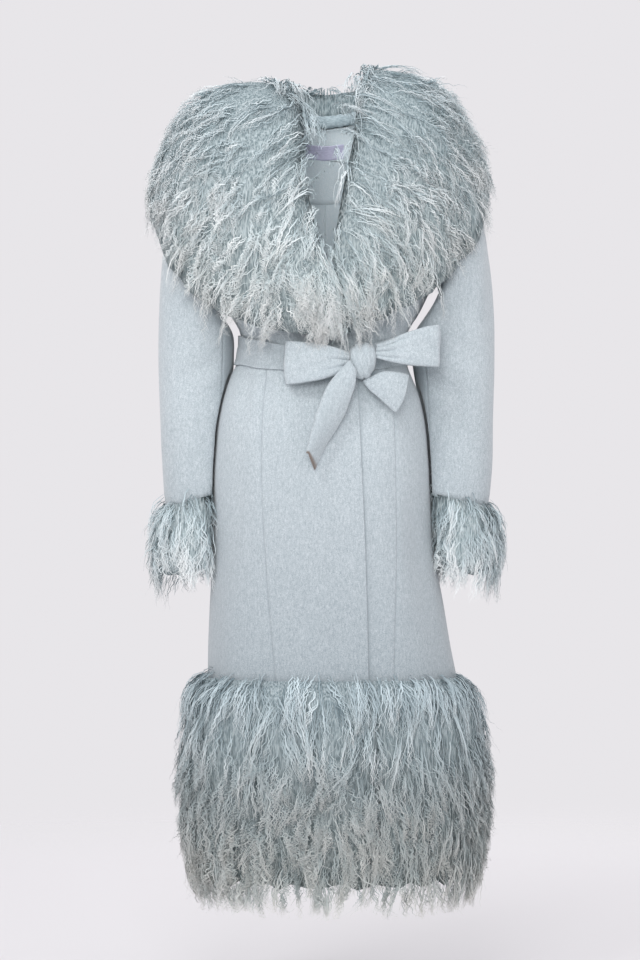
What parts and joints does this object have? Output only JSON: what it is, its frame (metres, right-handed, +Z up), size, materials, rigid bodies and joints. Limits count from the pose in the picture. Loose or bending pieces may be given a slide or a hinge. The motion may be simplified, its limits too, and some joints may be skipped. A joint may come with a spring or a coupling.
{
  "type": "felt coat",
  "caption": "Long wrapped coat of pale blue felted wool, belted with a side bow, with a wide shawl collar, cuffs and hem band of long curly fur.",
  "frame": {"origin": "centre of the coat's neck, level with the back neck seam, where the wearer's shoulders carry it", "axes": "+Z up along the coat's length, -Y out of its front, +X to the wearer's left"},
  "size_m": [0.5358, 0.3756, 1.2409],
  "materials": {
    "felted_wool": "matt felted nap",
    "felted_sash": "matt felted nap",
    "curly_fur": "long curly locks",
    "short_fur_roll": "short dense pile",
    "label_satin": "satin"
  },
  "bodies": {
    "root": {"back_left": "felted_wool", "back_right": "felted_wool", "side_left": "felted_wool", "side_right": "felted_wool", "front_left": "felted_wool", "front_right": "felted_wool", "sleeve_top_left": "felted_wool", "sleeve_under_left": "felted_wool", "sleeve_top_right": "felted_wool", "sleeve_under_right": "felted_wool", "neck_facing": "felted_wool", "belt": "felted_sash", "belt_knot": "felted_sash", "bow_loop_left": "felted_sash", "bow_loop_right": "felted_sash", "belt_tail_long": "felted_sash", "belt_tail_short": "felted_sash", "collar_left": "curly_fur", "collar_right": "curly_fur", "collar_back": "curly_fur", "cuff_left": "curly_fur", "cuff_right": "curly_fur", "hem_left": "curly_fur", "hem_right": "curly_fur", "hem_back": "curly_fur", "neck_band": "short_fur_roll", "label": "label_satin"}
  },
  "joints": []
}
